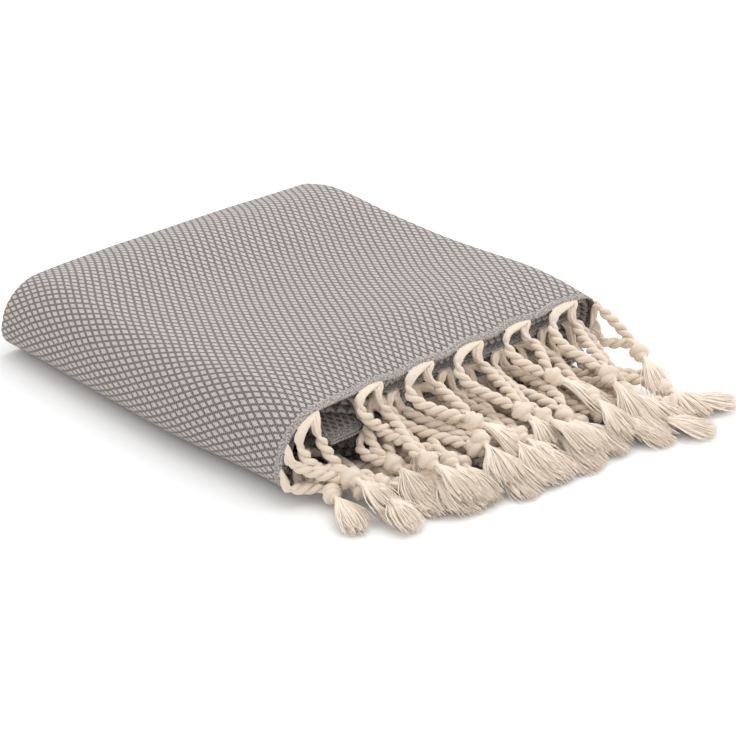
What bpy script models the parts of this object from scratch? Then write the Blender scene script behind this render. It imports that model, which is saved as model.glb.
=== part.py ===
"""A folded hammam towel: one long woven cloth, folded to a small block, with a knotted fringe at each end.

The cloth is folded along its length into six plies, so that both fringed ends lie at +X, and then in half twice
across its width, which leaves its broad round fold at -Y. The block lies flat on z = 0, with its middle at x = y = 0.
"""

import math

import bmesh
import bpy
from mathutils import Vector

# Cloth
SHEET = 0.0014            # thickness of the cloth
PITCH = 0.0022            # from one layer of the folded cloth to the next
PLIES = 6                 # plies along the length, before the cloth is folded across
BLOCK_X = 0.255           # from the folds at -X to the fringed edge at +X
BLOCK_Y = 0.250           # from the round fold at -Y to the fold at +Y
POCKET = 0.012            # room left between the round fold and the fold inside it
LOWER_END = 0.012         # from the fold at +Y back to the long edge of the lowest run
UPPER_END = 0.006         # the same for the long edge of the run above it

# Facets
FOLD_SEGMENTS = 3         # round each narrow fold of the plies
ROUND_SEGMENTS = 9        # round the broad fold
TURN_SEGMENTS = 5         # round the two narrower folds across the width
RUN_SEGMENTS = 3          # along each run between them

# Fringe
TASSEL_PITCH = 0.040      # from one tassel to the next along the cloth's edge
EDGE_GAP = 0.0003         # between the cloth's edge and the fringe
BAND = 0.0040             # width of the band, along which the tassels start
ROOT_WIDTH = 0.0080       # width of a tassel where it leaves the band
REACH = 0.083             # from the fringed edge to the tips of the lowest tassels, at the middle of the edge
SLANT = 0.12              # how much further the tassels reach for each metre towards +Y
FAN_Y = -0.08             # where along the edge the tassels point straight out
FLOOR_GAP = 0.0003        # between the lowest tassels and the surface
ROOT_MARGIN = 0.0008      # least length of band between a tassel's root and the next facet
FALL = 0.042              # how far out the tassels have fallen to their place in the pile
THIN_FROM = 0.050         # how far out the pile starts to thin
THIN_TO = 0.100           # and how far out it is at its thinnest

# Sizes that follow from these
BUNDLE = PLIES * PITCH
PLY_OFFSET = (PLIES - 1) * PITCH / 2                   # from a bundle's middle to its outer ply
BUNDLE_MIDS = [SHEET / 2 + PLY_OFFSET + k * BUNDLE for k in range(4)]
HEIGHT = BUNDLE_MIDS[3] + PLY_OFFSET + SHEET / 2
ROUND_RADIUS = (BUNDLE_MIDS[3] - BUNDLE_MIDS[0]) / 2   # of the middle of the bundle in the broad fold
TURN_RADIUS = BUNDLE / 2
FOLD_RADIUS = PITCH / 2
EDGE_X = BLOCK_X / 2
ROUND_Y = -BLOCK_Y / 2 + PLY_OFFSET + SHEET / 2 + ROUND_RADIUS

# The section of one bundle: how far each fold and edge stops short of the block's side, outer ply first
SECTION_ENDS = [
    {"at": "outer edge", "side": 1, "inset": 0.0},
    {"at": "fold 1 to 2", "side": -1, "inset": 0.0},
    {"at": "fold 2 to 3", "side": 1, "inset": 0.0040},
    {"at": "fold 3 to 4", "side": -1, "inset": 0.0025},
    {"at": "fold 4 to 5", "side": 1, "inset": 0.0090},
    {"at": "fold 5 to 6", "side": -1, "inset": 0.0010},
    {"at": "inner edge", "side": 1, "inset": 0.0060},
]

# Where the facets of a ply meet between its folds
PLY_STATIONS = [-0.086, -0.028, 0.042, 0.084]

# How the stack swells and sinks, as a share of its height: each row is a soft mound or hollow, and its spread
SWELLS = [
    {"at": "mound by the folds", "x": -0.092, "along": 0.022, "y": 0.010, "across": 0.070, "rise": 0.07},
    {"at": "hollow of the top", "x": -0.030, "along": 0.035, "y": 0.000, "across": 0.080, "rise": -0.08},
    {"at": "mound by the fringe", "x": 0.082, "along": 0.030, "y": -0.005, "across": 0.085, "rise": 0.13},
    {"at": "drop at the folds", "x": -0.134, "along": 0.016, "y": 0.000, "across": 1.000, "rise": -0.12},
    {"at": "drop at the fringe", "x": 0.134, "along": 0.016, "y": 0.050, "across": 0.090, "rise": -0.12},
    {"at": "shoulder of the fold", "x": 0.000, "along": 1.000, "y": -0.118, "across": 0.020, "rise": -0.05},
]

# The round fold sags: it stands out further below its middle than above it, and is drawn in near the fringe
BELLY = 0.35
BROW = -0.12
DRAWN_IN = {"by": 0.007, "from_x": 0.020, "over": 0.110}

# The fringe's levels in the pile, from the surface up: height of a tassel's middle at its knot and at its tip,
# how far it reaches at the middle of the edge, and how much the tassels fan out
LEVELS = {
    "floor": {"knot": 0.0035, "tip": 0.0016, "reach": REACH, "fan": 0.18},
    "low": {"knot": 0.0105, "tip": 0.0048, "reach": 0.080, "fan": 0.15},
    "middle": {"knot": 0.0175, "tip": 0.0080, "reach": 0.078, "fan": 0.12},
    "high": {"knot": 0.0245, "tip": 0.0112, "reach": 0.075, "fan": 0.04},
    "top": {"knot": 0.0315, "tip": 0.0144, "reach": 0.072, "fan": -0.03},
}

# The outline of one tassel: as it falls, by how far out it is, and then by its share of the way to its tip
FALLING = [
    {"at": "ropes part", "out": 0.010, "width": 0.0090, "thick": 0.0045},
    {"at": "ropes", "out": 0.025, "width": 0.0105, "thick": 0.0056},
    {"at": "ropes meet", "out": FALL, "width": 0.0110, "thick": 0.0060},
]
LYING_FLAT = [
    {"at": "knot", "share": 0.20, "width": 0.0130, "thick": 0.0062},
    {"at": "under the knot", "share": 0.36, "width": 0.0110, "thick": 0.0052},
    {"at": "brush", "share": 0.70, "width": 0.0145, "thick": 0.0038},
    {"at": "tip", "share": 1.00, "width": 0.0155, "thick": 0.0028},
]

# The two combs: the ply whose edge each one follows, and how far its first tassel is from the lower long edge
COMBS = {
    "outer_fringe": {"ply": 0, "first": 0.013, "color": (0.80, 0.70, 0.59)},
    "inner_fringe": {"ply": PLIES - 1, "first": 0.040, "color": (0.76, 0.66, 0.55)},
}

# Where the tassels of each stretch of an edge come to lie, and how far they lean to the side on the way
LYING = {
    "outer_fringe": {
        "lowest run": {"level": "floor", "lean": 0.0},
        "broad fold": {"level": "floor", "lean": 0.006},
        "top run": {"level": "top", "lean": 0.0},
        "fold at +Y": {"level": "middle", "lean": 0.0},
        "second run": {"level": "middle", "lean": 0.0},
        "third run": {"level": "middle", "lean": 0.0},
    },
    "inner_fringe": {
        "lowest run": {"level": "low", "lean": -0.009},
        "broad fold": {"level": "middle", "lean": 0.006},
        "top run": {"level": "high", "lean": 0.0},
        "second run": {"level": "high", "lean": 0.0},
        "inner fold": {"level": "high", "lean": 0.0},
        "third run": {"level": "low", "lean": 0.0},
    },
}


def smooth(t):
    t = min(max(t, 0.0), 1.0)
    return t * t * (3.0 - 2.0 * t)


def spread(value, middle, reach):
    return math.exp(-((value - middle) / reach) ** 2 / 2)


def settle(x, y, z):
    """The stack as it lies: swollen, sunk and sagged, with its underside flat."""
    swell = sum(s["rise"] * spread(x, s["x"], s["along"]) * spread(y, s["y"], s["across"]) for s in SWELLS)
    middle = HEIGHT / 2
    out = max(ROUND_Y - y, 0.0)
    sag = BELLY * max(1.0 - z / middle, 0.0) + BROW * max(z / middle - 1.0, 0.0)
    drawn = DRAWN_IN["by"] * smooth((x - DRAWN_IN["from_x"]) / DRAWN_IN["over"]) * smooth(-y / (BLOCK_Y / 2))
    return (x, y - out * sag + drawn, z * (1.0 + swell))


def section():
    """The stations of one bundle's section: x, and how far out of the bundle's middle, outer ply first."""
    points = []
    for ply in range(PLIES):
        first, last = SECTION_ENDS[ply], SECTION_ENDS[ply + 1]
        offset = PLY_OFFSET - ply * PITCH
        if ply == 0:
            points.append((first["side"] * (EDGE_X - first["inset"]), offset))
        ordered = PLY_STATIONS if last["side"] > 0 else PLY_STATIONS[::-1]
        points += [(x, offset) for x in ordered]
        if ply == PLIES - 1:
            points.append((last["side"] * (EDGE_X - last["inset"]), offset))
            continue
        side = last["side"]
        middle = side * (EDGE_X - last["inset"] - SHEET / 2 - FOLD_RADIUS)
        for k in range(FOLD_SEGMENTS + 1):
            angle = math.pi * k / FOLD_SEGMENTS
            points.append((middle + side * FOLD_RADIUS * math.sin(angle),
                           offset - FOLD_RADIUS * (1.0 - math.cos(angle))))
    return points


def run(name, first_y, last_y, z):
    return {"name": name, "from": (first_y, z), "to": (last_y, z)}


def turn(name, y, z, radius, start, angle):
    return {"name": name, "middle": (y, z), "radius": radius, "start": start, "turn": angle}


def across():
    """The stretches of a bundle's middle across the width, in order: straight runs and half-round folds."""
    low, third, second, top = BUNDLE_MIDS
    far_y = BLOCK_Y / 2 - PLY_OFFSET - SHEET / 2 - TURN_RADIUS
    inner_y = ROUND_Y + POCKET
    return [
        run("lowest run", BLOCK_Y / 2 - LOWER_END, ROUND_Y, low),
        turn("broad fold", ROUND_Y, (low + top) / 2, ROUND_RADIUS, 270, -180),
        run("top run", ROUND_Y, far_y, top),
        turn("fold at +Y", far_y, (top + second) / 2, TURN_RADIUS, 90, -180),
        run("second run", far_y, inner_y, second),
        turn("inner fold", inner_y, (second + third) / 2, TURN_RADIUS, 90, 180),
        run("third run", inner_y, BLOCK_Y / 2 - UPPER_END, third),
    ]


def place(stretch, share, offset):
    """The point at a share of a stretch, moved out of the bundle's middle, and the edge's direction there."""
    if "radius" in stretch:
        angle = math.radians(stretch["start"] + stretch["turn"] * share)
        sense = math.copysign(1.0, stretch["turn"])
        reach = stretch["radius"] - sense * offset
        y = stretch["middle"][0] + reach * math.cos(angle)
        z = stretch["middle"][1] + reach * math.sin(angle)
        return y, z, angle + sense * math.pi / 2
    (y0, z0), (y1, z1) = stretch["from"], stretch["to"]
    heading = math.atan2(z1 - z0, y1 - y0)
    y = y0 + (y1 - y0) * share - math.sin(heading) * offset
    z = z0 + (z1 - z0) * share + math.cos(heading) * offset
    return y, z, heading


def length(stretch, offset):
    if "radius" in stretch:
        sense = math.copysign(1.0, stretch["turn"])
        return math.radians(abs(stretch["turn"])) * (stretch["radius"] - sense * offset)
    (y0, z0), (y1, z1) = stretch["from"], stretch["to"]
    return math.hypot(y1 - y0, z1 - z0)


def facets(stretch):
    if stretch["name"] == "broad fold":
        return ROUND_SEGMENTS
    return TURN_SEGMENTS if "radius" in stretch else RUN_SEGMENTS


def stations():
    """Every place across the width where facets meet, as a stretch and a share of it."""
    stretches = across()
    found = [(stretches[0], 0.0)]
    for stretch in stretches:
        count = facets(stretch)
        found += [(stretch, (k + 1) / count) for k in range(count)]
    return found


def material(name, color, roughness):
    surface = bpy.data.materials.new(name)
    surface.use_nodes = True
    shader = surface.node_tree.nodes["Principled BSDF"]
    shader.inputs["Base Color"].default_value = (*color, 1.0)
    shader.inputs["Roughness"].default_value = roughness
    shader.inputs["Metallic"].default_value = 0.0
    return surface


def add(name, mesh_builder, collection, surface):
    mesh = bpy.data.meshes.new(name)
    mesh_builder.to_mesh(mesh)
    mesh_builder.free()
    piece = bpy.data.objects.new(name, mesh)
    mesh.materials.append(surface)
    collection.objects.link(piece)
    return piece


def folded_cloth(collection):
    """The whole cloth as one sheet: a grid, its columns along the plies and its rows across the width."""
    along, rows = section(), stations()
    sheet = bmesh.new()
    bmesh.ops.create_grid(sheet, x_segments=len(along) - 1, y_segments=len(rows) - 1, size=1.0)
    for vertex in sheet.verts:
        x, offset = along[round((vertex.co.x + 1.0) / 2.0 * (len(along) - 1))]
        stretch, share = rows[round((vertex.co.y + 1.0) / 2.0 * (len(rows) - 1))]
        y, z, heading = place(stretch, share, offset)
        vertex.co = settle(x, y, z)
    cloth = add("folded_cloth", sheet, collection, material("woven cotton", (0.47, 0.43, 0.43), 0.9))
    wall = cloth.modifiers.new("thickness", "SOLIDIFY")
    wall.thickness = SHEET
    wall.offset = 0.0
    return cloth


def corners(x, y, z, heading, width, thick):
    """A tassel's section: its four corners, the width along the heading and the thickness across it."""
    wide = (math.cos(heading) * width / 2, math.sin(heading) * width / 2)
    tall = (-math.sin(heading) * thick / 2, math.cos(heading) * thick / 2)
    return [(x, y + a * wide[0] + b * tall[0], z + a * wide[1] + b * tall[1])
            for a, b in ((-1, -1), (1, -1), (1, 1), (-1, 1))]


def extend(comb, face, old, new):
    """Extrudes a face, moves each of its corners from its old place to the new one, and returns it."""
    face = bmesh.ops.extrude_discrete_faces(comb, faces=[face])["faces"][0]
    for vertex in face.verts:
        nearest = min(range(4), key=lambda k: (vertex.co - old[k]).length)
        vertex.co = new[nearest]
    return face


def edge_place(distance, offset):
    """The place this far along a ply's edge: the name of the stretch, y, z and the edge's direction."""
    stretches = across()
    for stretch in stretches:
        span = length(stretch, offset)
        if distance <= span or stretch is stretches[-1]:
            return stretch["name"], *place(stretch, distance / span, offset)
        distance -= span


def edge_stops(offset):
    """The distances along a ply's edge at which its facets meet."""
    stops, behind = [0.0], 0.0
    for stretch in across():
        span, count = length(stretch, offset), facets(stretch)
        stops += [behind + span * (k + 1) / count for k in range(count)]
        behind += span
    return stops


def band_section(distance, offset, near, far):
    """The band's four corners at a place along the edge, settled with the cloth."""
    _, y, z, heading = edge_place(distance, offset)
    out = (-math.sin(heading) * SHEET / 2, math.cos(heading) * SHEET / 2)
    return [Vector(settle(x, y + side * out[0], z + side * out[1]))
            for x, side in ((near, -1), (far, -1), (far, 1), (near, 1))]


def pile_height(level, out):
    """How high the middle of a lying tassel is, at a distance out from the fringed edge."""
    share = (out - THIN_FROM) / (THIN_TO - THIN_FROM)
    return level["knot"] + (level["tip"] - level["knot"]) * min(max(share, 0.0), 1.0)


def tassel_sections(root, start, lying):
    """The sections of one tassel, from its root on the band to its tip in the pile."""
    y0, z0, heading0 = start
    level = LEVELS[lying["level"]]
    flat = round(heading0 / math.pi) * math.pi
    reach = level["reach"] + SLANT * y0
    rows = [(row, row["out"]) for row in FALLING]
    rows += [(row, FALL + (reach - FALL) * row["share"]) for row in LYING_FLAT]
    sections = [root]
    for row, out in rows:
        fallen = smooth(out / FALL)
        y = y0 + lying["lean"] * fallen + level["fan"] * (y0 - FAN_Y) * out / reach
        z = z0 + (pile_height(level, out) - z0) * fallen
        z = max(z, row["thick"] / 2 + FLOOR_GAP)
        heading = heading0 + (flat - heading0) * fallen
        place = corners(EDGE_X + out, y, z, heading, row["width"], row["thick"])
        sections.append([Vector(c) for c in place])
    return sections


def fringe(name, collection):
    """One end's fringe: a band along the edge of its ply, and a row of tassels that start from the band."""
    spec = COMBS[name]
    offset = PLY_OFFSET - spec["ply"] * PITCH
    edge = SECTION_ENDS[0] if spec["ply"] == 0 else SECTION_ENDS[-1]
    near = EDGE_X - edge["inset"] + EDGE_GAP
    far = near + BAND
    stops = edge_stops(offset)
    end = stops[-1]
    half = ROOT_WIDTH / 2
    starts = []
    at = spec["first"]
    while at + half < end:
        starts.append(at)
        at += TASSEL_PITCH
    stops = [s for s in stops if all(abs(s - at) > half + ROOT_MARGIN for at in starts)]
    stops = sorted(stops + [at - half for at in starts] + [at + half for at in starts])

    comb = bmesh.new()
    bmesh.ops.create_cube(comb, size=2.0)
    first, second = (band_section(s, offset, near, far) for s in stops[:2])
    for vertex in comb.verts:
        side = (vertex.co.x > 0, vertex.co.z > 0)
        k = ((False, False), (True, False), (True, True), (False, True)).index(side)
        vertex.co = (second if vertex.co.y > 0 else first)[k]
    middle = sum(second, Vector()) / 4
    face = min(comb.faces, key=lambda f: (f.calc_center_median() - middle).length)
    old = second
    for stop in stops[2:]:
        new = band_section(stop, offset, near, far)
        face = extend(comb, face, old, new)
        old = new

    for at in starts:
        before = band_section(at - half, offset, near, far)
        after = band_section(at + half, offset, near, far)
        root = [before[1], after[1], after[2], before[2]]
        middle = sum(root, Vector()) / 4
        face = min(comb.faces, key=lambda f: (f.calc_center_median() - middle).length)
        stretch, _, _, heading = edge_place(at, offset)
        sections = tassel_sections(root, (middle.y, middle.z, heading), LYING[name][stretch])
        for old, new in zip(sections, sections[1:]):
            face = extend(comb, face, old, new)
    bmesh.ops.recalc_face_normals(comb, faces=comb.faces)
    return add(name, comb, collection, material(name + " cotton", spec["color"], 0.85))


def main():
    for item in list(bpy.data.objects):
        bpy.data.objects.remove(item, do_unlink=True)
    towel = bpy.data.collections.new("hammam_towel")
    bpy.context.scene.collection.children.link(towel)
    folded_cloth(towel)
    for name in COMBS:
        fringe(name, towel)


main()
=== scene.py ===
import math
import random

import bmesh
import bpy
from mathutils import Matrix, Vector, noise


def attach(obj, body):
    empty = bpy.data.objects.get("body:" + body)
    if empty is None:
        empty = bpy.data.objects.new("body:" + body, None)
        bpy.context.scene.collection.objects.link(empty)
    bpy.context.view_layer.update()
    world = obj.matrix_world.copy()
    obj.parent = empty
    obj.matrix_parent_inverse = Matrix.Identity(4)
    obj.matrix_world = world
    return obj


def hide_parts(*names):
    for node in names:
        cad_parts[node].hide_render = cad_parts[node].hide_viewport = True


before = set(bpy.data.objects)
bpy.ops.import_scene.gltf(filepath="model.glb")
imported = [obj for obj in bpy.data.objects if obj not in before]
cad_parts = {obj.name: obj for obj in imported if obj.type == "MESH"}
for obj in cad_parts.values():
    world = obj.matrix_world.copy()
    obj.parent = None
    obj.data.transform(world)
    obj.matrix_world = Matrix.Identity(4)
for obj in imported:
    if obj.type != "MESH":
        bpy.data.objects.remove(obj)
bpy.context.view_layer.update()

print("frame loaded")


fold = {
    "plies": 6,               # along the length, before it is folded across
    "pitch": 0.0022,          # from one layer to the next
    "layer": 0.0014,          # the room one layer takes
    "blockX": 0.255,
    "blockY": 0.250,
    "pocket": 0.012,          # from the middle of the broad fold to that of the inner one
    "lowerEnd": 0.012,        # how far the lowest run stops short of the far side
    "upperEnd": 0.006,        # and the third run
    # how far the plies' ends and turns stay back from the sides, from the outermost ply to the innermost
    "insets": [0.0, 0.0, 0.0020, 0.0025, 0.0040, 0.0010, 0.0020],
    "belly": 0.35,            # the broad fold leans out below its middle
    "brow": -0.12,            # and back a little above it
}
fold["plyOffset"] = (fold["plies"] - 1) * fold["pitch"] / 2
fold["bundle"] = fold["plies"] * fold["pitch"]
fold["mids"] = [fold["layer"] / 2 + fold["plyOffset"] + k * fold["bundle"] for k in range(4)]
fold["height"] = fold["mids"][3] + fold["plyOffset"] + fold["layer"] / 2
fold["roundRadius"] = (fold["mids"][3] - fold["mids"][0]) / 2
fold["roundY"] = -fold["blockY"] / 2 + fold["plyOffset"] + fold["layer"] / 2 + fold["roundRadius"]
edgeX = fold["blockX"] / 2

# soft mounds and hollows, as shares of the height
swells = [
    {"at": "mound by the folds", "x": -0.092, "along": 0.022, "y": 0.010, "across": 0.070, "rise": 0.07},
    {"at": "hollow of the top", "x": -0.030, "along": 0.035, "y": 0.000, "across": 0.080, "rise": -0.08},
    {"at": "mound by the fringe", "x": 0.084, "along": 0.030, "y": 0.030, "across": 0.100, "rise": 0.13},
    {"at": "drop at the folds", "x": -0.134, "along": 0.016, "y": 0.000, "across": 1.000, "rise": -0.12},
    {"at": "drop at the fringe", "x": 0.134, "along": 0.016, "y": -0.025, "across": 0.085, "rise": -0.10},
    {"at": "shoulder of the fold", "x": 0.000, "along": 1.000, "y": -0.118, "across": 0.020, "rise": -0.05},
]


def smooth(t):
    t = min(max(t, 0.0), 1.0)
    return t * t * (3.0 - 2.0 * t)


def spread(value, middle, reach):
    return math.exp(-((value - middle) / reach) ** 2 / 2)


stack = {
    "uneven": 0.012,          # small unevenness, as a share of the height
    "unevenX": 26.0,          # changes of it to a metre
    "unevenY": 20.0,
    "unevenDraw": 3.1,
    "slant": 0.007,           # how far the broad fold slants back towards the fringe
    "slantFrom": 0.020,
    "slantOver": 0.110,
}


def settle(x, y, z):
    # the place of a point of the neatly folded cloth once the stack has sagged and swelled
    swell = sum(s["rise"] * spread(x, s["x"], s["along"]) * spread(y, s["y"], s["across"]) for s in swells)
    spot = Vector((x * stack["unevenX"], y * stack["unevenY"], stack["unevenDraw"]))
    swell += stack["uneven"] * noise.noise(spot)
    middle = fold["height"] / 2
    out = max(fold["roundY"] - y, 0.0)
    sag = fold["belly"] * max(1.0 - z / middle, 0.0) + fold["brow"] * max(z / middle - 1.0, 0.0)
    slanted = stack["slant"] * smooth((x - stack["slantFrom"]) / stack["slantOver"])
    slanted *= smooth(-y / (fold["blockY"] / 2))
    return Vector((x, y - out * sag + slanted, z * (1.0 + swell)))


edging = {
    "drawFrom": 0.100,        # the outermost ply is drawn in between here and its edge
    "draw": 0.0030,           # by so much where a bundle of the fringe pulls on it
    "bundleY": 0.022,         # where one bundle pulls
    "bundlePitch": 0.0375,    # and how far it is to the next
    "lowY": -0.085,           # the pull sets in here
    "lowOver": 0.020,
    "highY": 0.118,           # and has faded out here
    "highOver": 0.015,
    "backFrom": 0.085,        # the plies behind it are pushed back between here and their edge
    "back": 0.0005,
    "backMore": 0.022,        # most of all beside the broad fold
    "backY": -0.080,
    "backReach": 0.016,
    "wander": 0.004,          # and unevenly
    "wanderY": 34.0,
    "wanderDraw": 7.7,
    "wanderPly": 90.0,
}


def tuck(x, y, offset):
    # where a point of a ply ends up along x, this far out of the middle of its bundle
    if offset > fold["plyOffset"] - 0.5 * fold["pitch"]:
        pulled = 0.5 + 0.5 * math.cos(2 * math.pi * (y - edging["bundleY"]) / edging["bundlePitch"])
        fading = smooth((edging["highY"] - y) / edging["highOver"])
        pulled *= smooth((y - edging["lowY"]) / edging["lowOver"]) * fading
        return x - edging["draw"] * pulled * smooth((x - edging["drawFrom"]) / (edgeX - edging["drawFrom"]))
    back = edging["back"] + edging["backMore"] * spread(y, edging["backY"], edging["backReach"])
    spot = Vector((y * edging["wanderY"], edging["wanderDraw"], offset * edging["wanderPly"]))
    back += edging["wander"] * noise.noise(spot)
    return x - max(back, 0.0) * smooth((x - edging["backFrom"]) / (edgeX - edging["backFrom"]))


def plySection(perRun, perFold):
    # x, offset out of the bundle's middle, and distance along the cloth's length
    radius = fold["pitch"] / 2
    points = [(edgeX - fold["insets"][0], fold["plyOffset"])]
    for ply in range(fold["plies"]):
        lastPly = ply == fold["plies"] - 1
        side = -1 if ply % 2 == 0 else 1  # the side this ply runs to
        offset = fold["plyOffset"] - ply * fold["pitch"]
        room = 0.0 if lastPly else radius + fold["layer"] / 2
        start, end = points[-1][0], side * (edgeX - fold["insets"][ply + 1] - room)
        points += [(start + (end - start) * k / perRun, offset) for k in range(1, perRun + 1)]
        if not lastPly:
            angles = [math.pi * k / perFold for k in range(1, perFold + 1)]
            points += [(end + side * radius * math.sin(angle), offset - radius * (1 - math.cos(angle)))
                       for angle in angles]
    along, section = 0.0, []
    for k, (x, offset) in enumerate(points):
        if k:
            along += math.hypot(x - points[k - 1][0], offset - points[k - 1][1])
        section.append((x, offset, along))
    return section


def run(name, firstY, lastY, z):
    return {"name": name, "from": (firstY, z), "to": (lastY, z)}


def turn(name, y, z, radius, start, angle):
    return {"name": name, "middle": (y, z), "radius": radius, "start": start, "turn": angle}


def acrossWidth():
    low, third, second, top = fold["mids"]
    radius = fold["bundle"] / 2
    farY = fold["blockY"] / 2 - fold["plyOffset"] - fold["layer"] / 2 - radius
    innerY = fold["roundY"] + fold["pocket"]
    return [
        run("lowest run", fold["blockY"] / 2 - fold["lowerEnd"], fold["roundY"], low),
        turn("broad fold", fold["roundY"], (low + top) / 2, fold["roundRadius"], 270, -180),
        run("top run", fold["roundY"], farY, top),
        turn("far fold", farY, (top + second) / 2, radius, 90, -180),
        run("second run", farY, innerY, second),
        turn("inner fold", innerY, (second + third) / 2, radius, 90, 180),
        run("third run", innerY, fold["blockY"] / 2 - fold["upperEnd"], third),
    ]


stretches = acrossWidth()


def placeOn(stretch, share, offset):
    # y, z and heading of a ply, this share of the way along a run or a fold
    if "radius" in stretch:
        angle = math.radians(stretch["start"] + stretch["turn"] * share)
        sense = math.copysign(1.0, stretch["turn"])
        reach = stretch["radius"] - sense * offset
        y, z = stretch["middle"]
        return y + reach * math.cos(angle), z + reach * math.sin(angle), angle + sense * math.pi / 2
    (y0, z0), (y1, z1) = stretch["from"], stretch["to"]
    heading = math.atan2(z1 - z0, y1 - y0)
    y = y0 + (y1 - y0) * share - math.sin(heading) * offset
    z = z0 + (z1 - z0) * share + math.cos(heading) * offset
    return y, z, heading


def lengthOf(stretch, offset):
    if "radius" in stretch:
        sense = math.copysign(1.0, stretch["turn"])
        return math.radians(abs(stretch["turn"])) * (stretch["radius"] - sense * offset)
    return abs(stretch["to"][0] - stretch["from"][0])


class Wire:
    # a value socket that takes ordinary arithmetic
    def __init__(self, finish, socket):
        self.finish, self.socket = finish, socket

    def op(self, kind, *values):
        return self.finish.node("ShaderNodeMath", {"operation": kind}, dict(enumerate(values)))

    def __add__(self, other):
        return self.op("ADD", self, other)

    def __radd__(self, other):
        return self.op("ADD", other, self)

    def __sub__(self, other):
        return self.op("SUBTRACT", self, other)

    def __rsub__(self, other):
        return self.op("SUBTRACT", other, self)

    def __mul__(self, other):
        return self.op("MULTIPLY", self, other)

    def __rmul__(self, other):
        return self.op("MULTIPLY", other, self)

    def __truediv__(self, other):
        return self.op("DIVIDE", self, other)

    def fract(self):
        return self.op("FRACT", self)

    def abs(self):
        return self.op("ABSOLUTE", self)

    def sine(self):
        return self.op("SINE", self)

    def least(self, other):
        return self.op("MINIMUM", self, other)

    def most(self, other):
        return self.op("MAXIMUM", self, other)

    def ramp(self, low, high):  # 0 below low, 1 above high, smooth between
        return self.finish.node("ShaderNodeMapRange", {"interpolation_type": "SMOOTHSTEP"},
                                {"Value": self, "From Min": low, "From Max": high})


class Finish:
    def __init__(self, name, roughness, sheen=0.0):
        self.material = bpy.data.materials.new(name)
        self.material.use_nodes = True
        self.tree = self.material.node_tree
        self.shader = self.tree.nodes["Principled BSDF"]
        self.shader.inputs["Roughness"].default_value = roughness
        self.shader.inputs["Sheen Weight"].default_value = sheen
        self.shader.inputs["Sheen Roughness"].default_value = 0.6
        self.shader.inputs["Specular IOR Level"].default_value = 0.2

    def node(self, kind, settings, inputs, output=0):
        made = self.tree.nodes.new(kind)
        for key, value in settings.items():
            setattr(made, key, value)
        for key, value in inputs.items():
            if isinstance(value, Wire):
                self.tree.links.new(value.socket, made.inputs[key])
            else:
                made.inputs[key].default_value = value
        return Wire(self, made.outputs[output])

    def coords(self, which):
        return self.node("ShaderNodeTexCoord", {}, {}, which)

    def split(self, vector, axis):
        return self.node("ShaderNodeSeparateXYZ", {}, {"Vector": vector}, axis)

    def grain(self, vector, scale, detail=2.0):
        inputs = {"Vector": vector, "Scale": scale, "Detail": detail}
        return self.node("ShaderNodeTexNoise", {}, inputs, "Fac")

    def blend(self, factor, first, second):
        return self.node("ShaderNodeMix", {"data_type": "RGBA"}, {0: factor, 6: first, 7: second}, 2)

    def wire(self, name, value):
        self.tree.links.new(value.socket, self.shader.inputs[name])

    def bump(self, height, strength, distance):
        inputs = {"Strength": strength, "Distance": distance, "Height": height}
        self.wire("Normal", self.node("ShaderNodeBump", {}, inputs, "Normal"))


weave = {
    "along": 0.00864,         # one lozenge along the length of the cloth
    "across": 0.00485,        # and across its width
    "line": (0.53, 0.77),     # where the outline of a lozenge starts and is full
    "jag": 0.20,              # how ragged an outline is
    "stitch": 0.00150,        # length of one of its stitches
    "stitchGap": 0.36,        # how much paler it is between two stitches
    "rib": 0.00122,           # one rib of the plain ground, across the width
    "pick": 0.00144,          # and along the length
    "header": 0.0052,         # plain-woven band at each fringed end
    "pepper": 0.66,           # how dark its specks are
    "pale": (0.605, 0.548, 0.508, 1.0),
    "dark": (0.074, 0.061, 0.059, 1.0),
    "backPale": (0.520, 0.475, 0.445, 1.0),  # the reverse, where the two tones change places
    "backDark": (0.062, 0.053, 0.052, 1.0),
    "worn": (0.42, 0.38, 0.37, 1.0),         # slow unevenness of both tones
    "relief": 0.00035,
}


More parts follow.
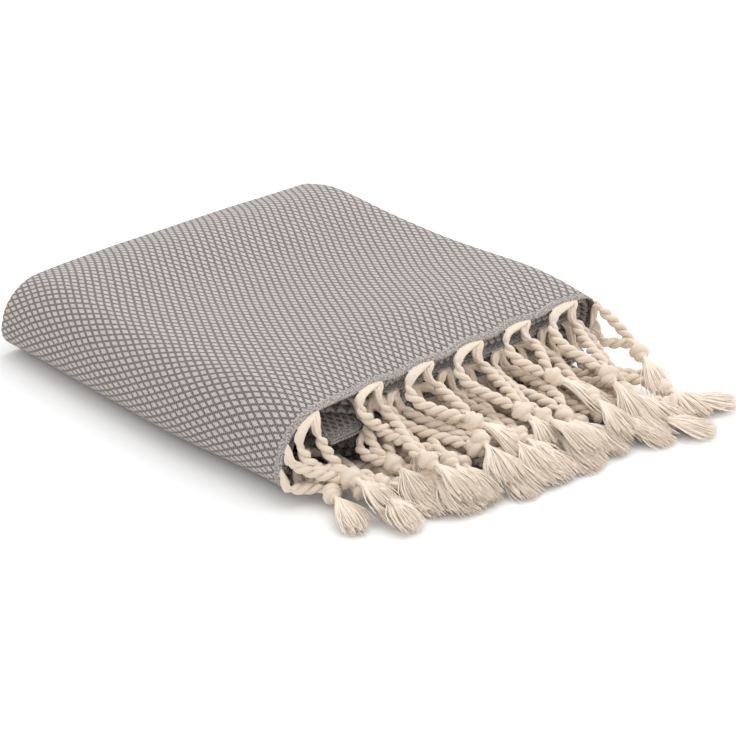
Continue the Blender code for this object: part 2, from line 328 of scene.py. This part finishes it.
def weaveFinish(name, pale, dark, clothLength, inverse):
    finish = Finish(name, 0.92, 0.15)
    uv = finish.coords("UV")
    u, v = finish.split(uv, 0), finish.split(uv, 1)
    # the yarns wander a little, so the outlines are never quite straight
    wander = finish.grain(uv, 140.0, 1.0) - 0.5
    drift = finish.grain(uv, 14.0, 1.0) - 0.5
    jag = (finish.grain(uv, 900.0, 1.0) - 0.5) * weave["jag"]
    a = u / weave["along"] + wander * 0.16 + drift * 0.7
    b = v / weave["across"] + wander * 0.10
    rising = ((a + b + jag).fract() - 0.5).abs() * 2.0
    falling = ((a - b + jag).fract() - 0.5).abs() * 2.0
    outline = rising.most(falling).ramp(*weave["line"])
    # each outline is a row of short stitches, and the lozenges between are a close plain weave
    stitch = ((u * (2 * math.pi / weave["stitch"])).sine() * 0.5 + 0.5) * weave["stitchGap"]
    ribs = (v * (2 * math.pi / weave["rib"])).sine() * 0.5 + 0.5
    picks = (u * (2 * math.pi / weave["pick"])).sine() * 0.5 + 0.5
    speck = finish.grain(uv, 1000.0, 2.0)
    outline = outline * (1.0 - stitch)
    # plain salt-and-pepper band at the ends
    atEnd = u.least(clothLength - u) + jag * 0.006
    header = 1.0 - atEnd.ramp(weave["header"] - 0.0008, weave["header"] + 0.0004)
    pepper = finish.grain(uv, 820.0, 1.0).ramp(0.40, 0.62) * weave["pepper"]
    mark = outline * (1.0 - header) + pepper * header
    cell = speck.ramp(0.32, 0.68) * 0.32 + ribs * picks * 0.14
    mark = (mark + cell * (1.0 - mark)).least(1.0)
    if inverse:
        mark = 1.0 - mark
    color = finish.blend(mark, pale, dark)
    worn = finish.grain(uv, 9.0, 2.0)
    color = finish.blend(worn * 0.10, color, weave["worn"])
    finish.wire("Base Color", color)
    height = ribs * 0.30 + picks * 0.20 + speck * 0.35 - outline * 0.9 * (1.0 - header)
    finish.bump(height, 0.55, weave["relief"])
    return finish.material


# ropes and knots are twisted, brushes are loose; both are the same cotton, but the brush yarn is painted paler
# to lift the shade between its strands and the rope yarn is painted darker to tone down the light on it
yarn = {
    "ropePaintedDarker": {"color": (0.760, 0.648, 0.530, 1.0), "shade": (0.680, 0.560, 0.440, 1.0),
                "pale": (0.830, 0.735, 0.630, 1.0)},
    "brushPaintedPaler": {"color": (0.900, 0.790, 0.670, 1.0), "shade": (0.830, 0.710, 0.580, 1.0),
              "pale": (0.930, 0.845, 0.745, 1.0)},
}


def yarnFinish(name, tones, fine):
    finish = Finish(name, 0.95, 0.25)
    place = finish.coords("Object")
    slow = finish.grain(place, 90.0, 2.0)
    quick = finish.grain(place, fine, 3.0)
    color = finish.blend(slow.ramp(0.30, 0.70) * 0.45, tones["color"], tones["shade"])
    color = finish.blend(quick.ramp(0.35, 0.70) * 0.40, color, tones["pale"])
    finish.wire("Base Color", color)
    finish.bump(quick, 0.35, 0.0004)
    return finish.material


cloth = {
    "thickness": 0.0011,
    "perRun": 30,             # facets along each ply
    "perFold": 6,
    "rowsPerRun": 34,
    "rowsRound": 26,
    "rowsTurn": 9,
}


def rowsAcross():
    # stretch, share of the way along it and distance across the cloth, for each row of facets
    rows, behind = [(stretches[0], 0.0, 0.0)], 0.0
    for stretch in stretches:
        count = cloth["rowsPerRun"]
        if "radius" in stretch:
            count = cloth["rowsRound"] if stretch["name"] == "broad fold" else cloth["rowsTurn"]
        outer = fold["plyOffset"] if stretch.get("turn", 0) < 0 else 0.0
        span = lengthOf(stretch, outer)
        rows += [(stretch, (k + 1) / count, behind + span * (k + 1) / count) for k in range(count)]
        behind += span
    return rows


def makeCloth():
    section, rows = plySection(cloth["perRun"], cloth["perFold"]), rowsAcross()
    length, width = section[-1][2], rows[-1][2]
    sheet = bmesh.new()
    bmesh.ops.create_grid(sheet, x_segments=len(section) - 1, y_segments=len(rows) - 1, size=1.0)
    uvLayer = sheet.loops.layers.uv.new("weave")
    flatPlace = {}
    for vertex in sheet.verts:
        x, offset, along = section[round((vertex.co.x + 1.0) / 2.0 * (len(section) - 1))]
        stretch, share, across = rows[round((vertex.co.y + 1.0) / 2.0 * (len(rows) - 1))]
        y, z, heading = placeOn(stretch, share, offset)
        vertex.co = settle(tuck(x, y, offset), y, z)
        flatPlace[vertex] = (along, across)
    for face in sheet.faces:
        face.smooth = True
        for loop in face.loops:
            loop[uvLayer].uv = flatPlace[loop.vert]
    bmesh.ops.reverse_faces(sheet, faces=sheet.faces)  # the face of the weave is outermost
    mesh = bpy.data.meshes.new("foldedTowel")
    sheet.to_mesh(mesh)
    sheet.free()
    piece = bpy.data.objects.new("foldedTowel", mesh)
    bpy.context.scene.collection.objects.link(piece)
    mesh.materials.append(weaveFinish("weaveFace", weave["pale"], weave["dark"], length, False))
    mesh.materials.append(weaveFinish("weaveBack", weave["backPale"], weave["backDark"], length, True))
    wall = piece.modifiers.new("thickness", "SOLIDIFY")
    wall.thickness = cloth["thickness"]
    wall.offset = 0.0
    wall.material_offset = 1
    return piece, length, width


towel, clothLength, clothWidth = makeCloth()
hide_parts("folded_cloth")
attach(towel, "root")
print("cloth", round(clothWidth, 3), "by", round(clothLength, 3))


# the two ends of the cloth; sweep is how much edge one tassel's yarns come from
combs = {
    "outer": {"ply": 0, "first": 0.013, "count": 24, "pitch": 0.040, "inset": 0.0, "sweep": 0.024},
    "inner": {"ply": 5, "first": 0.040, "count": 22, "pitch": 0.040, "inset": 0.0020, "sweep": 0.010},
}

# how high each layer of the pile lies, how far out its knots are, and how much it fans out towards +Y
levels = {
    "floor": {"knotZ": 0.0065, "tipZ": 0.0032, "out": 0.056, "fan": 0.14},
    "low": {"knotZ": 0.0110, "tipZ": 0.0050, "out": 0.052, "fan": 0.11},
    "middle": {"knotZ": 0.0165, "tipZ": 0.0080, "out": 0.049, "fan": 0.07},
    "high": {"knotZ": 0.0215, "tipZ": 0.0110, "out": 0.046, "fan": 0.03},
    "top": {"knotZ": 0.0270, "tipZ": 0.0140, "out": 0.042, "fan": -0.02},
}

# the layer that the tassels of each stretch of the edge lie in
lying = {
    "outer": {"lowest run": "floor", "broad fold": "floor", "top run": "top", "far fold": "middle",
              "second run": "middle", "inner fold": "middle", "third run": "low"},
    "inner": {"lowest run": "low", "broad fold": "middle", "top run": "high", "far fold": "high",
              "second run": "high", "inner fold": "high", "third run": "low"},
}

# the tassels on view: where along the edge each one starts, where its knot and its brush's tip come to rest and,
# for some, how much edge their yarns come from and which way their ropes leave it
placed = [
    {"comb": "outer", "tassel": 5, "start": 0.2460, "knot": (0.1480, -0.1000, 0.0080),
     "tip": (0.1800, -0.1090, 0.0034), "sweep": 0.006, "leave": (0.40, 0.50, -0.50)},
    {"comb": "outer", "tassel": 6, "start": 0.2610, "knot": (0.1610, -0.0760, 0.0110),
     "tip": (0.1880, -0.0570, 0.0045), "sweep": 0.006, "leave": (0.30, 0.80, -0.55)},
    {"comb": "outer", "tassel": 7, "start": 0.2820, "knot": (0.1575, -0.0870, 0.0095),
     "tip": (0.1900, -0.0830, 0.0040), "sweep": 0.022, "leave": (0.20, 0.10, -0.95)},
    {"comb": "outer", "tassel": 8, "start": 0.3330, "knot": (0.1510, -0.0450, 0.0190),
     "tip": (0.1740, -0.0520, 0.0100)},
    {"comb": "outer", "tassel": 9, "start": 0.3730, "knot": (0.1650, -0.0110, 0.0280),
     "tip": (0.1850, 0.0050, 0.0130)},
    {"comb": "outer", "tassel": 10, "start": 0.4110, "knot": (0.1710, 0.0200, 0.0255),
     "tip": (0.1880, 0.0260, 0.0120)},
    {"comb": "outer", "tassel": 11, "start": 0.4490, "knot": (0.1595, 0.0570, 0.0305),
     "tip": (0.1840, 0.0720, 0.0170)},
    {"comb": "outer", "tassel": 12, "start": 0.4870, "knot": (0.1740, 0.0860, 0.0280),
     "tip": (0.2030, 0.0850, 0.0070)},
    {"comb": "outer", "tassel": 13, "start": 0.5230, "knot": (0.1580, 0.1300, 0.0220),
     "tip": (0.1860, 0.1200, 0.0100)},
    {"comb": "outer", "tassel": 4, "start": 0.1730, "knot": (0.1740, -0.0560, 0.0080),
     "tip": (0.2030, -0.0430, 0.0036)},
    {"comb": "outer", "tassel": 0, "start": 0.0130, "knot": (0.2000, 0.0930, 0.0070),
     "tip": (0.2290, 0.1140, 0.0034)},
    {"comb": "outer", "tassel": 18, "start": 0.7080, "knot": (0.1560, -0.0600, 0.0130),
     "tip": (0.1830, -0.0640, 0.0080), "sweep": 0.010, "leave": (0.30, 0.0, -0.95)},
    {"comb": "inner", "tassel": 16, "start": 0.6240, "knot": (0.1640, -0.0660, 0.0070),
     "tip": (0.1940, -0.0640, 0.0034), "leave": (0.10, 0.0, -1.0)},
    {"comb": "inner", "tassel": 17, "start": 0.7000, "knot": (0.1600, -0.0500, 0.0075),
     "tip": (0.1890, -0.0470, 0.0034), "leave": (0.10, 0.0, -1.0)},
    {"comb": "inner", "tassel": 5, "start": 0.2250, "knot": (0.1520, -0.0900, 0.0160),
     "tip": (0.1800, -0.0880, 0.0100)},
    {"comb": "inner", "tassel": 6, "start": 0.3080, "knot": (0.1560, -0.0620, 0.0160),
     "tip": (0.1830, -0.0660, 0.0080)},
    {"comb": "inner", "tassel": 7, "start": 0.3200, "knot": (0.1740, -0.0180, 0.0170),
     "tip": (0.1990, -0.0050, 0.0050)},
    {"comb": "inner", "tassel": 8, "start": 0.3600, "knot": (0.1780, 0.0120, 0.0160),
     "tip": (0.2040, 0.0160, 0.0060)},
    {"comb": "inner", "tassel": 9, "start": 0.4000, "knot": (0.1810, 0.0440, 0.0190),
     "tip": (0.2090, 0.0370, 0.0050)},
    {"comb": "inner", "tassel": 10, "start": 0.4400, "knot": (0.1860, 0.0690, 0.0130),
     "tip": (0.2120, 0.0860, 0.0045)},
    {"comb": "inner", "tassel": 11, "start": 0.4800, "knot": (0.1960, 0.1170, 0.0075),
     "tip": (0.2130, 0.1510, 0.0034)},
]


def edgePlace(distance, offset):
    for stretch in stretches:
        span = lengthOf(stretch, offset)
        if distance <= span or stretch is stretches[-1]:
            y, z, heading = placeOn(stretch, distance / span, offset)
            return stretch["name"], y, z, heading
        distance -= span


def rootOf(comb, distance):
    # the stretch that this distance along a comb's edge falls on, the place there and the way the edge runs
    spec = combs[comb]
    offset = fold["plyOffset"] - spec["ply"] * fold["pitch"]
    name, y, z, heading = edgePlace(distance, offset)
    edge = edgeX - spec["inset"]
    place = settle(tuck(edge, y, offset), y, z)
    ahead = edgePlace(distance + 0.002, offset)
    along = settle(tuck(edge, ahead[1], offset), ahead[1], ahead[2]) - place
    if along.length > 1e-6:
        return name, place, along.normalized()
    return name, place, Vector((0, math.cos(heading), math.sin(heading)))


def bezier(a, b, c, d, t):
    s = 1.0 - t
    return a * (s * s * s) + b * (3 * s * s * t) + c * (3 * s * t * t) + d * (t * t * t)


def aboveFloor(point, radius):
    return Vector((point.x, point.y, max(point.z, radius + 0.0004)))


class Bundle:
    # round yarns laid along paths, gathered as one curve for each fineness
    def __init__(self, name):
        self.name, self.curves = name, {}

    def lay(self, points, radii, sides):
        if sides not in self.curves:
            curve = bpy.data.curves.new(f"{self.name}{sides}", "CURVE")
            curve.dimensions = "3D"
            curve.bevel_depth = 1.0
            curve.bevel_resolution = (sides - 4) // 2
            curve.use_fill_caps = True
            curve.twist_mode = "MINIMUM"
            self.curves[sides] = curve
        spline = self.curves[sides].splines.new("POLY")
        spline.points.add(len(points) - 1)
        spline.points.foreach_set("co", [c for p in points for c in (*p, 1.0)])
        spline.points.foreach_set("radius", radii)
        spline.use_smooth = True

    def build(self, finish):
        whole = bmesh.new()
        for curve in self.curves.values():
            holder = bpy.data.objects.new("holder", curve)
            bpy.context.scene.collection.objects.link(holder)
            graph = bpy.context.evaluated_depsgraph_get()
            part = bpy.data.meshes.new_from_object(holder.evaluated_get(graph))
            whole.from_mesh(part)
            bpy.data.objects.remove(holder)
            bpy.data.meshes.remove(part)
        for face in whole.faces:
            face.smooth = True
            face.material_index = 0
        mesh = bpy.data.meshes.new(self.name)
        whole.to_mesh(mesh)
        whole.free()
        mesh.materials.clear()
        mesh.materials.append(finish)
        piece = bpy.data.objects.new(self.name, mesh)
        bpy.context.scene.collection.objects.link(piece)
        print(self.name, len(mesh.polygons), "faces")
        return piece


twistedRope = {
    "plyRadius": 0.00190,
    "plyOut": 0.00166,        # from the middle of the rope to the middle of each of its two plies
    "twist": 0.0136,          # length of one full turn
    "step": 0.0012,
    "startSize": 0.35,        # both ends are slimmer, as a share of the full size
    "startOver": 0.008,
    "endSize": 0.55,
    "endOver": 0.005,
    "sides": 8,
}


def evenly(path, step):
    # the same path with evenly spaced points, and its length
    lengths = [0.0]
    for a, b in zip(path, path[1:]):
        lengths.append(lengths[-1] + (b - a).length)
    count = max(int(lengths[-1] / step), 8)
    points, k = [], 0
    for n in range(count + 1):
        at = lengths[-1] * n / count
        while k < len(lengths) - 2 and lengths[k + 1] < at:
            k += 1
        span = max(lengths[k + 1] - lengths[k], 1e-9)
        points.append(path[k].lerp(path[k + 1], (at - lengths[k]) / span))
    return points, lengths[-1]


def grown(size, share):
    # from this share of the full size up to all of it
    return size + (1.0 - size) * smooth(share)


def layRope(bundle, path, rng):
    # two plump plies laid round each other
    centres, length = evenly(path, twistedRope["step"])
    last = len(centres) - 1
    phase = rng.uniform(0, 2 * math.pi)
    side = Vector((0, 0, 1))
    plies, radii = [[], []], []
    for n, centre in enumerate(centres):
        ahead = (centres[min(n + 1, last)] - centres[max(n - 1, 0)]).normalized()
        side = (side - ahead * side.dot(ahead)).normalized()
        other = ahead.cross(side)
        at = length * n / last
        size = grown(twistedRope["startSize"], at / twistedRope["startOver"])
        size *= grown(twistedRope["endSize"], (length - at) / twistedRope["endOver"])
        reach = twistedRope["plyOut"] * size
        for ply, points in enumerate(plies):
            angle = phase - 2 * math.pi * at / twistedRope["twist"] + math.pi * ply
            points.append(centre + side * (reach * math.cos(angle)) + other * (reach * math.sin(angle)))
        radii.append(twistedRope["plyRadius"] * size)
    for points in plies:
        bundle.lay([aboveFloor(p, r) for p, r in zip(points, radii)], radii, twistedRope["sides"])


gatheredYarn = {
    "count": 12,
    "spread": (0.0008, 0.0019),   # from the middle of the yarns that gather
    "leave": (0.0032, 0.0, 0.0004),
    "run": 0.22,              # share of the gap they run on before they turn to the rope
    "meet": 0.10,             # and share over which they come in along it
    "meetMore": 0.0015,
    "thin": 0.00055,          # radius at the cloth
    "fill": 0.00070,          # what they gain on the way
    "inRope": 0.00120,        # radius where they join the rope
    "fade": 0.00010,          # and what they lose at each point in it
    "sides": 6,
}


def layYarns(bundle, comb, distance, first, last, path, rng):
    # smooth yarns that leave the cloth over a stretch of its edge and gather into the start of a rope
    count, target = gatheredYarn["count"], path[0]
    opening = (path[4] - path[0]).normalized()
    leave = Vector(gatheredYarn["leave"])
    radii = [gatheredYarn["thin"] + gatheredYarn["fill"] * smooth(t / 6) for t in range(11)]
    radii += [gatheredYarn["inRope"] - gatheredYarn["fade"] * k for k in range(1, 7)]
    for n in range(count):
        _, place, _ = rootOf(comb, distance + first + (last - first) * (n + 0.5) / count)
        lean = Vector((rng.uniform(-1, 1), rng.uniform(-1, 1), rng.uniform(-1, 1)))
        lean = (lean - opening * lean.dot(opening)).normalized() * rng.uniform(*gatheredYarn["spread"])
        gap = target - place
        out = place + leave + gap * gatheredYarn["run"]
        meet = target - opening * (gatheredYarn["meet"] * gap.length + gatheredYarn["meetMore"])
        meet = meet - gap * gatheredYarn["run"] + lean
        start = place + Vector((-0.0008, 0, -0.0002))  # just inside the cloth
        points = [bezier(start, out, meet, target + lean, t / 10) for t in range(11)]
        points += [path[k] + lean * (1.0 - k / 6) for k in range(1, 7)]
        bundle.lay([aboveFloor(p, r) for p, r in zip(points, radii)], radii, gatheredYarn["sides"])


ballKnot = {
    "tube": 0.0030,           # radius of the yarns that it is tied with
    "turns": 1.55,
    "reach": 0.0033,          # from the middle of the knot to the middle of those yarns
    "length": 0.0060,
    "points": 26,
    "core": [0.0026, 0.0036, 0.0044, 0.0047, 0.0043, 0.0034, 0.0028],  # radii of what they are tied round
    "coreFrom": -0.0062,
    "coreLength": 0.0120,
    "sides": 8,
}


def layKnot(bundle, knot, ahead, rng):
    # one thick turn and a half round the ropes
    side = ahead.cross(Vector((0, 0, 1)))
    side = side.normalized() if side.length > 1e-3 else Vector((0, 1, 0))
    other = side.cross(ahead)
    phase = rng.uniform(0, 2 * math.pi)
    points, radii = [], []
    for n in range(ballKnot["points"] + 1):
        t = n / ballKnot["points"]
        middle = math.sin(math.pi * t)  # fullest half way along
        angle = phase + 2 * math.pi * ballKnot["turns"] * t
        reach = ballKnot["reach"] * (0.55 + 0.45 * middle)
        place = knot + ahead * (ballKnot["length"] * (t - 0.5))
        points.append(place + side * (reach * math.cos(angle)) + other * (reach * math.sin(angle)))
        radii.append(ballKnot["tube"] * (0.72 + 0.28 * middle))
    bundle.lay([aboveFloor(p, r * 0.9) for p, r in zip(points, radii)], radii, ballKnot["sides"])
    core, points = ballKnot["core"], []
    for n in range(len(core)):
        at = ballKnot["coreFrom"] + ballKnot["coreLength"] * n / (len(core) - 1)
        points.append(aboveFloor(knot + ahead * at, core[0]))
    bundle.lay(points, core, ballKnot["sides"])


looseBrush = {
    "width": (0.0070, 0.0088),
    "from": 0.0035,           # past the middle of the knot
    "hump": 0.0022,           # how far its yarns bow up
    "clumps": 15,
    "clumpLength": (0.66, 0.88),
    "clumpRise": (-0.0016, 0.0014),
    "clumpRadius": (0.0011, 0.0016),
    "clumpWave": 0.0006,
    "strands": 124,
    "strandLength": (0.84, 1.05),
    "strandRise": 0.0030,
    "strandRadius": (0.00026, 0.00044),
    "strandWave": (0.0003, 0.0011),
    "points": 6,
    "sides": 4,
}


def layBrush(bundle, knot, tip, rng):
    # loose yarns below the knot: fat clumps inside, fine strands over them
    way = tip - knot
    ahead = way.normalized()
    side = ahead.cross(Vector((0, 0, 1))).normalized()
    other = side.cross(ahead)
    width = rng.uniform(*looseBrush["width"])
    start = knot + ahead * looseBrush["from"]

    def strand(length, sideways, up, radius, wave):
        phase = rng.uniform(0, 2 * math.pi)
        wobble = Vector((rng.uniform(-1, 1), rng.uniform(-1, 1), rng.uniform(-1, 1))) * wave
        points, radii = [], []
        for n in range(looseBrush["points"] + 1):
            t = n / looseBrush["points"]
            fan = smooth(t * 1.25) * (0.85 + 0.15 * t)
            rise = math.sin(math.pi * min(t * 1.1, 1.0)) * looseBrush["hump"]
            point = start + way * (length * t)
            point += side * (sideways * fan) + other * (up * (0.55 + 0.6 * t) + rise)
            point += wobble * math.sin(2.2 * math.pi * t + phase) * t
            points.append(aboveFloor(point, radius))
            radii.append(radius * (1.0 - 0.55 * t ** 3))
        bundle.lay(points, radii, looseBrush["sides"])

    clumps = looseBrush["clumps"]
    for n in range(clumps):
        strand(rng.uniform(*looseBrush["clumpLength"]), (2.0 * (n + 0.5) / clumps - 1.0) * 0.95 * width,
               rng.uniform(*looseBrush["clumpRise"]), rng.uniform(*looseBrush["clumpRadius"]),
               looseBrush["clumpWave"])
    for n in range(looseBrush["strands"]):
        out = max(-1.5, min(1.5, rng.gauss(0, 0.60)))
        lift = rng.uniform(-1, 1) * math.sqrt(max(1.0 - (out / 1.6) ** 2, 0.0))
        strand(rng.uniform(*looseBrush["strandLength"]) * (1.0 - 0.05 * out * out), out * width,
               lift * looseBrush["strandRise"], rng.uniform(*looseBrush["strandRadius"]),
               rng.uniform(*looseBrush["strandWave"]))


unseen = {
    "wander": 0.004,          # of a knot, outwards and along
    "splay": 0.08,            # knots lie further out towards +Y
    "fanY": -0.080,           # and the pile fans out from here
    "brush": 0.029,           # from the knot to the tip
    "brushWander": 0.006,
    "brushTurn": 0.35,        # how much of its ropes' turn a brush keeps
}


def restingPlace(level, root, rng):
    # knot and tip of a tassel that is laid by rule
    out = level["out"] + rng.uniform(-unseen["wander"], unseen["wander"]) + unseen["splay"] * root.y
    y = root.y + level["fan"] * (root.y - unseen["fanY"]) + rng.uniform(-unseen["wander"], unseen["wander"])
    knot = Vector((edgeX + out, y, level["knotZ"]))
    aside = unseen["brushTurn"] * (y - root.y) + rng.uniform(-unseen["brushWander"], unseen["brushWander"])
    tip = knot + Vector((unseen["brush"], aside, 0))
    tip.z = level["tipZ"]
    return knot, tip


# yarns are swept along the edge into a tassel's first rope, and the second hangs from the rest, lower down
# at and yarns are shares of the sweep, and against is how much a rope sets off against the run of the edge
ropePair = [
    {"at": -0.50, "yarns": (-0.36, 0.50), "out": (0.0042, 0.0, -0.0026), "against": 0.45, "bow": -0.0030,
     "meet": -0.0024},
    {"at": 0.20, "yarns": (0.10, 0.50), "out": (0.0052, 0.0, -0.0080), "against": 0.0, "bow": 0.0030,
     "meet": 0.0024},
]

hang = {
    "steepFrom": 0.012,       # a rope that drops further than this leaves and arrives steeply
    "steepLeave": (0.42, 0.0, -0.90),
    "flatLeave": (0.42, 0.0, -0.25),
    "steepArrive": (0.35, 0.0, 0.12),
    "flatArrive": (0.35, 0.0, 0.0),
    "leaveShare": 0.34,
    "arriveShare": 0.36,
    "bowWander": 0.003,
    "beforeKnot": 0.0045,
    "clear": 0.0036,          # of the floor
}


def ropePath(rope, start, along, knot, ahead, leave, rng):
    # from the cloth to the knot; along is the way the edge runs and ahead the way the brush points
    end = knot - ahead * hang["beforeKnot"] + Vector((0, rope["meet"], 0.0004))
    steep = start.z - end.z > hang["steepFrom"]
    reach = (end - start).length
    if leave is None:
        leave = Vector(hang["steepLeave" if steep else "flatLeave"]) - along * rope["against"]
    leave = Vector(leave).normalized() * reach * hang["leaveShare"]
    arrive = ahead * 0.9 + Vector(hang["steepArrive" if steep else "flatArrive"])
    arrive = arrive.normalized() * reach * hang["arriveShare"]
    bow = Vector((0, rng.uniform(-hang["bowWander"], hang["bowWander"]), 0))
    bow += Vector((0, rope["bow"] if along.y >= 0 else -rope["bow"], 0))
    path = [bezier(start, start + leave + bow, end - arrive + bow, end, t / 40) for t in range(41)]
    return [aboveFloor(p, hang["clear"]) for p in path]


def makeFringe(comb, ropeFinish, brushFinish):
    spec = combs[comb]
    ropes, brushes = Bundle(comb + "Ropes"), Bundle(comb + "Brushes")
    onView = {row["tassel"]: row for row in placed if row["comb"] == comb}
    for tassel in range(spec["count"]):
        rng = random.Random(f"{comb} {tassel}")
        row = onView.get(tassel, {})
        distance = row.get("start", spec["first"] + tassel * spec["pitch"])
        sweep = row.get("sweep", spec["sweep"])
        name, root, along = rootOf(comb, distance)
        if row:
            knot, tip = Vector(row["knot"]), Vector(row["tip"])
        else:
            knot, tip = restingPlace(levels[lying[comb][name]], root, rng)
        ahead = (tip - knot).normalized()
        for rope in ropePair:
            _, start, _ = rootOf(comb, distance + rope["at"] * sweep)
            path = ropePath(rope, start + Vector(rope["out"]), along, knot, ahead, row.get("leave"), rng)
            layRope(ropes, path, rng)
            first, last = rope["yarns"]
            layYarns(ropes, comb, distance, first * sweep, last * sweep, path, rng)
        layKnot(ropes, knot, ahead, rng)
        layBrush(brushes, knot, tip, rng)
    made = [ropes.build(ropeFinish), brushes.build(brushFinish)]
    for piece in made:
        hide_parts(comb + "_fringe")
        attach(piece, "root")
    return made


# the rope and knot yarn is painted darker and the brush yarn painted paler, to even out the light on the ropes
# and the shade among the brush strands
ropeFinish = yarnFinish("ropeYarnPaintedDarker", yarn["ropePaintedDarker"], 1300.0)
brushFinish = yarnFinish("brushYarnPaintedPaler", yarn["brushPaintedPaler"], 1800.0)
fringePieces = makeFringe("outer", ropeFinish, brushFinish) + makeFringe("inner", ropeFinish, brushFinish)
print("fringe laid")


stage = {
    "floor": (0.93, 0.93, 0.93, 1.0),
    "floorSize": 12.0,
    "sky": (1.0, 1.0, 1.0, 1.0),
    "skyStrength": 1.0,
    "lampPower": 15.0,
    "lampSize": 2.2,
    "lampPlace": (0.0, 0.75, 1.5),
    "lampTarget": (0.03, 0.0, 0.0),
    "lens": 125.9,
    "cameraPlace": (1.0689, -0.8907, 0.6827),
    "cameraTarget": (0.0738, -0.0081, 0.026),
}


def layFloor():
    ground = bmesh.new()
    bmesh.ops.create_grid(ground, x_segments=1, y_segments=1, size=stage["floorSize"])
    mesh = bpy.data.meshes.new("floor")
    ground.to_mesh(mesh)
    ground.free()
    floor = bpy.data.objects.new("floor", mesh)
    bpy.context.scene.collection.objects.link(floor)
    finish = Finish("paleFloor", 0.9)
    finish.shader.inputs["Base Color"].default_value = stage["floor"]
    mesh.materials.append(finish.material)


def aim(holder, place, target):
    holder.location = place
    holder.rotation_mode = "QUATERNION"
    holder.rotation_quaternion = (Vector(target) - Vector(place)).to_track_quat("-Z", "Y")
    bpy.context.scene.collection.objects.link(holder)


def hangLamp():
    lamp = bpy.data.lights.new("softbox", "AREA")
    lamp.shape = "DISK"
    lamp.size = stage["lampSize"]
    lamp.energy = stage["lampPower"]
    aim(bpy.data.objects.new("softbox", lamp), stage["lampPlace"], stage["lampTarget"])


def setCamera():
    lens = bpy.data.cameras.new("camera")
    lens.lens = stage["lens"]
    lens.sensor_width = 36.0
    lens.clip_start = 0.05
    camera = bpy.data.objects.new("camera", lens)
    aim(camera, stage["cameraPlace"], stage["cameraTarget"])
    bpy.context.scene.camera = camera


layFloor()
hangLamp()
setCamera()
sky = bpy.data.worlds.new("sky")
sky.use_nodes = True
sky.node_tree.nodes["Background"].inputs["Color"].default_value = stage["sky"]
sky.node_tree.nodes["Background"].inputs["Strength"].default_value = stage["skyStrength"]
bpy.context.scene.world = sky
bpy.context.scene.view_settings.view_transform = "Standard"
print("stage set")
